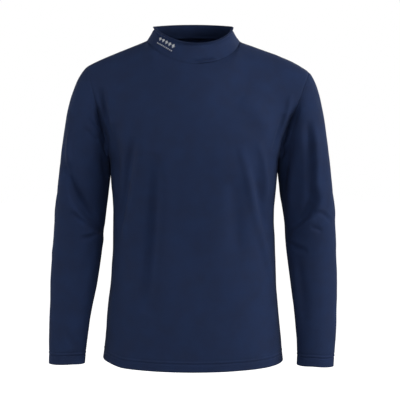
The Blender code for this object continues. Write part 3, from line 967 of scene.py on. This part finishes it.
level = Vector((ORNAMENT_ACROSS, 0, ORNAMENT_HEIGHT))
found, heart, facing, *_ = band.ray_cast(level - LOOKING["front"] * FAR_AWAY, LOOKING["front"])
sideways = Vector((0, 0, 1)).cross(facing).normalized()
upward = facing.cross(sideways)
reading = sideways * math.cos(ORNAMENT_TILT) + upward * math.sin(ORNAMENT_TILT)
rising = facing.cross(reading)
stations = []
for thread in ornament_threads():
    place = heart + reading * thread.across + rising * thread.up
    seat, normal = on_cloth(band, place, facing)
    along = (reading - normal * reading.dot(normal)).normalized()
    stations.append(Station(seat, along, normal, thread.length + STITCH_THREAD))
ornament = sew("neck_band_ornament", stations)
bpy.data.objects.remove(stitch)

# %% [markdown]
# # Finishes
# Every colour below is written as the sRGB hex value that a paint program shows, and one
# function turns it into the linear numbers that the shaders take. A second function adds a
# node with its settings, and links whatever inputs it is given.

# %% Helpers for materials


def linear(hex_colour):
    """Linear colour of an sRGB hex value such as "#2A3552"."""
    parts = [int(hex_colour[start:start + 2], 16) / 255 for start in (1, 3, 5)]
    return [part / 12.92 if part <= 0.04045 else ((part + 0.055) / 1.055) ** 2.4
            for part in parts] + [1.0]


def new_material(name):
    """A material with its shader, which is the Principled BSDF."""
    material = bpy.data.materials.new(name)
    material.use_nodes = True
    return material, material.node_tree.nodes["Principled BSDF"]


def add_node(material, kind, inputs=None, **settings):
    """Adds a node to a material, sets it, and fills its inputs with values or links."""
    node = material.node_tree.nodes.new(kind)
    for name, value in settings.items():
        setattr(node, name, value)
    for name, value in (inputs or {}).items():
        if isinstance(value, bpy.types.NodeSocket):
            material.node_tree.links.new(value, node.inputs[name])
        else:
            node.inputs[name].default_value = value
    return node


def math_node(material, operation, *values):
    """The result of one step of arithmetic on values or sockets."""
    return add_node(
        material, "ShaderNodeMath", dict(enumerate(values)), operation=operation
    ).outputs["Value"]


# %% [markdown]
# ## Navy interlock
# Interlock is a double-sided weft knit of polyester and cotton, dyed before it is sewn. Its
# face is smooth and matt with narrow upright columns of stitches, called wales, and each
# stitch is a small V. Loose fibres catch a little light at grazing angles, which is sheen. The
# V pattern is worked out from the flat map, so it runs up each cut piece. Real wales are 0.8 mm
# apart; they are drawn 1.6 mm apart here, because finer ones would not show in the render.

# %% Navy interlock
WALE = 0.0016
COURSE = 0.0018
NAVY, NAVY_LIGHT = "#253458", "#293B63"
STITCH_RELIEF = 0.00022
FIBRE_RELIEF = 0.00010
MOTTLE_SIZE = 0.030
FIBRE_SIZE = 0.0007


def navy_interlock():
    """Smooth, matt double knit in navy."""
    material, shader = new_material("navy_interlock_knit")
    place = add_node(material, "ShaderNodeTexCoord")
    cut = add_node(material, "ShaderNodeSeparateXYZ", {"Vector": place.outputs["UV"]})
    across = math_node(material, "DIVIDE", cut.outputs["X"], WALE)
    upward = math_node(material, "DIVIDE", cut.outputs["Y"], COURSE)
    limb = math_node(material, "PINGPONG", across, 0.5)
    column = math_node(material, "SINE", math_node(material, "MULTIPLY", limb, 2 * math.pi))
    slant = math_node(material, "ADD", upward, limb)
    loops = math_node(material, "SINE", math_node(material, "MULTIPLY", slant, 2 * math.pi))
    knit = math_node(material, "ADD", column, math_node(material, "MULTIPLY", loops, 0.5))

    mottle = add_node(
        material, "ShaderNodeTexNoise",
        {"Vector": place.outputs["Object"], "Scale": 1 / MOTTLE_SIZE, "Detail": 3.0},
    )
    fibres = add_node(
        material, "ShaderNodeTexNoise",
        {"Vector": place.outputs["Object"], "Scale": 1 / FIBRE_SIZE, "Detail": 2.0},
    )
    shade = math_node(
        material, "ADD",
        math_node(material, "MULTIPLY", mottle.outputs["Fac"], 0.7),
        math_node(material, "MULTIPLY", fibres.outputs["Fac"], 0.3),
    )
    navies = add_node(material, "ShaderNodeValToRGB", {"Fac": shade})
    navies.color_ramp.elements[0].position = 0.35
    navies.color_ramp.elements[0].color = linear(NAVY)
    navies.color_ramp.elements[1].position = 0.65
    navies.color_ramp.elements[1].color = linear(NAVY_LIGHT)

    stitches = add_node(
        material, "ShaderNodeBump", {"Height": knit, "Strength": 0.6, "Distance": STITCH_RELIEF}
    )
    fuzz = add_node(
        material, "ShaderNodeBump",
        {"Height": fibres.outputs["Fac"], "Strength": 0.5, "Distance": FIBRE_RELIEF,
         "Normal": stitches.outputs["Normal"]},
    )
    rough = add_node(
        material, "ShaderNodeMapRange",
        {"Value": mottle.outputs["Fac"], "From Min": 0.3, "From Max": 0.7,
         "To Min": 0.80, "To Max": 0.90},
    )
    links = material.node_tree.links
    links.new(navies.outputs["Color"], shader.inputs["Base Color"])
    links.new(rough.outputs["Result"], shader.inputs["Roughness"])
    links.new(fuzz.outputs["Normal"], shader.inputs["Normal"])
    shader.inputs["IOR"].default_value = 1.5
    shader.inputs["Specular IOR Level"].default_value = 0.25
    shader.inputs["Sheen Weight"].default_value = 0.08
    shader.inputs["Sheen Roughness"].default_value = 0.45
    shader.inputs["Sheen Tint"].default_value = linear("#8E9AB8")
    return material


interlock = navy_interlock()
for piece in panels.values():
    piece.data.materials.append(interlock)
print("dressed the five cut pieces in", interlock.name)

# %% [markdown]
# ## Sewing thread
# Hems are sewn with spun polyester thread dyed to match, and the ornament with glossy white
# rayon embroidery thread. Both are two yarns twisted together. The twist is a slanting
# wave along the stitch, with painted shade in the grooves between the yarns, and the rayon has
# a smoother, brighter surface. Blender's wave texture repeats 20 times as fast as its scale
# says, which the scale allows for.

# %% Threads
TWIST_SIZE = 0.0006
WAVE_SPEED = 20


def thread_material(name, dark, light, roughness, gloss):
    """Twisted thread, with painted shade in the grooves between its yarns."""
    material, shader = new_material(name)
    place = add_node(material, "ShaderNodeTexCoord")
    twist = add_node(
        material, "ShaderNodeTexWave",
        {"Vector": place.outputs["Object"], "Scale": 1 / (WAVE_SPEED * TWIST_SIZE) * math.pi,
         "Distortion": 1.5, "Detail": 1.0},
        wave_type="BANDS", bands_direction="DIAGONAL",
    )
    # The ramp runs from painted shade in the grooves between the yarns to the yarns' own colour.
    painted_twist_shade = add_node(material, "ShaderNodeValToRGB", {"Fac": twist.outputs["Fac"]})
    painted_twist_shade.color_ramp.elements[0].color = linear(dark)
    painted_twist_shade.color_ramp.elements[1].color = linear(light)
    relief = add_node(
        material, "ShaderNodeBump",
        {"Height": twist.outputs["Fac"], "Strength": 0.4, "Distance": STITCH_THREAD / 5},
    )
    links = material.node_tree.links
    links.new(painted_twist_shade.outputs["Color"], shader.inputs["Base Color"])
    links.new(relief.outputs["Normal"], shader.inputs["Normal"])
    shader.inputs["Roughness"].default_value = roughness
    shader.inputs["Specular IOR Level"].default_value = gloss
    return material


# The first colour of each thread is painted shade between its yarns, the second its own colour.
hem_thread = thread_material("navy_polyester_thread", "#1B2540", "#2A3655", 0.6, 0.4)
white_thread = thread_material("white_rayon_thread", "#D9DCE2", "#F4F5F8", 0.4, 0.5)
for piece in hem_stitches.values():
    piece.data.materials.append(hem_thread)
ornament.data.materials.append(white_thread)

# %% [markdown]
# # Studio
# The photograph has a plain white ground. A pale floor lies where the wearer's feet would
# stand. Its own glow keeps it as pale as the ground behind it, and it is hidden from diffuse
# and glossy rays, so that this glow does not light the cloth from below.

# %% Floor
FLOOR_HEIGHT = -1.45
FLOOR_RADIUS = 9.0
only(camera)
camera.select_set(False)
bpy.ops.mesh.primitive_circle_add(
    vertices=96, radius=FLOOR_RADIUS, fill_type="NGON", location=(0, 0, FLOOR_HEIGHT)
)
floor = bpy.context.object
floor.name = "studio_floor"
bpy.ops.object.transform_apply(location=True, rotation=False, scale=False)
paper, paper_shader = new_material("white_studio_paper")
paper_place = add_node(paper, "ShaderNodeTexCoord")
paper_grain = add_node(
    paper, "ShaderNodeTexNoise", {"Vector": paper_place.outputs["Object"], "Scale": 40.0}
)
paper_colour = add_node(paper, "ShaderNodeValToRGB", {"Fac": paper_grain.outputs["Fac"]})
paper_colour.color_ramp.elements[0].color = linear("#F2F2F2")
paper_colour.color_ramp.elements[1].color = linear("#F8F8F8")
paper.node_tree.links.new(paper_colour.outputs["Color"], paper_shader.inputs["Base Color"])
paper_shader.inputs["Roughness"].default_value = 0.9
paper_shader.inputs["Emission Color"].default_value = linear("#FFFFFF")
paper_shader.inputs["Emission Strength"].default_value = 1.0
floor.data.materials.append(paper)
floor.visible_diffuse = False
floor.visible_glossy = False

# %% [markdown]
# ## Lights
# In the photograph the chest and the outer sides of the sleeves are bright, while the inner
# sleeves and the inside of the neck are nearly black. So the light comes from large lamps at
# both sides, a stronger one high on the viewer's right and two weak ones in front, and hardly
# any from all round. Two lamps behind draw the thin bright rim. Each lamp stands at one
# distance from the garment, at an angle from the front and an angle up. The ground is white
# to the camera only.

# %% Lights and ground
GROUND_GLOW = 0.04
LAMP_DISTANCE = 2.8
LAMP_SIZE = 1.6
Lamp = namedtuple("Lamp", "name round_degrees up_degrees watts")
LAMPS = (
    Lamp("key", 60, 33, 31),
    Lamp("side_right", 80, -5, 22),
    Lamp("side_left", -82, -5, 17),
    Lamp("high_left", -40, 34, 12),
    Lamp("front", 0, -14, 15),
    Lamp("behind_right", 145, 25, 24),
    Lamp("behind_left", -145, 15, 14),
)
for lamp in LAMPS:
    light = bpy.data.objects.new(lamp.name, bpy.data.lights.new(lamp.name, "AREA"))
    bpy.context.scene.collection.objects.link(light)
    light.data.size = LAMP_SIZE
    light.data.energy = lamp.watts
    turned, raised = math.radians(lamp.round_degrees), math.radians(lamp.up_degrees)
    outward = Vector((math.sin(turned) * math.cos(raised), -math.cos(turned) * math.cos(raised),
                      math.sin(raised)))
    light.location = VIEW_TARGET + outward * LAMP_DISTANCE
    light.rotation_euler = (-outward).to_track_quat("-Z", "Y").to_euler()

ground = bpy.data.worlds.new("white_ground")
bpy.context.scene.world = ground
ground.use_nodes = True
glow = ground.node_tree.nodes["Background"]
glow.inputs["Color"].default_value = linear("#FFFFFF")
glow.inputs["Strength"].default_value = GROUND_GLOW
white = ground.node_tree.nodes.new("ShaderNodeBackground")
white.inputs["Color"].default_value = linear("#FFFFFF")
white.inputs["Strength"].default_value = 1.0
rays = ground.node_tree.nodes.new("ShaderNodeLightPath")
pick = ground.node_tree.nodes.new("ShaderNodeMixShader")
ground_out = ground.node_tree.nodes["World Output"]
ground.node_tree.links.new(rays.outputs["Is Camera Ray"], pick.inputs[0])
ground.node_tree.links.new(glow.outputs[0], pick.inputs[1])
ground.node_tree.links.new(white.outputs[0], pick.inputs[2])
ground.node_tree.links.new(pick.outputs[0], ground_out.inputs["Surface"])
bpy.context.scene.view_settings.view_transform = "Standard"
print("lights:", ", ".join(lamp.name for lamp in LAMPS))

# %% [markdown]
# Riding on one body
# Cloth has no joints, so every piece rides on the one body, with the stitches sewn on it.
# Each skin stands for its packed wall, which is hidden.

# %% Bodies
Cut = namedtuple("Cut", "width length area held")
for node, piece in panels.items():
    sewn_on = [hem_stitches[node]] if node in hem_stitches else [ornament]
    for each in [piece] + sewn_on:
        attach(each, "root")
    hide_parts(node)
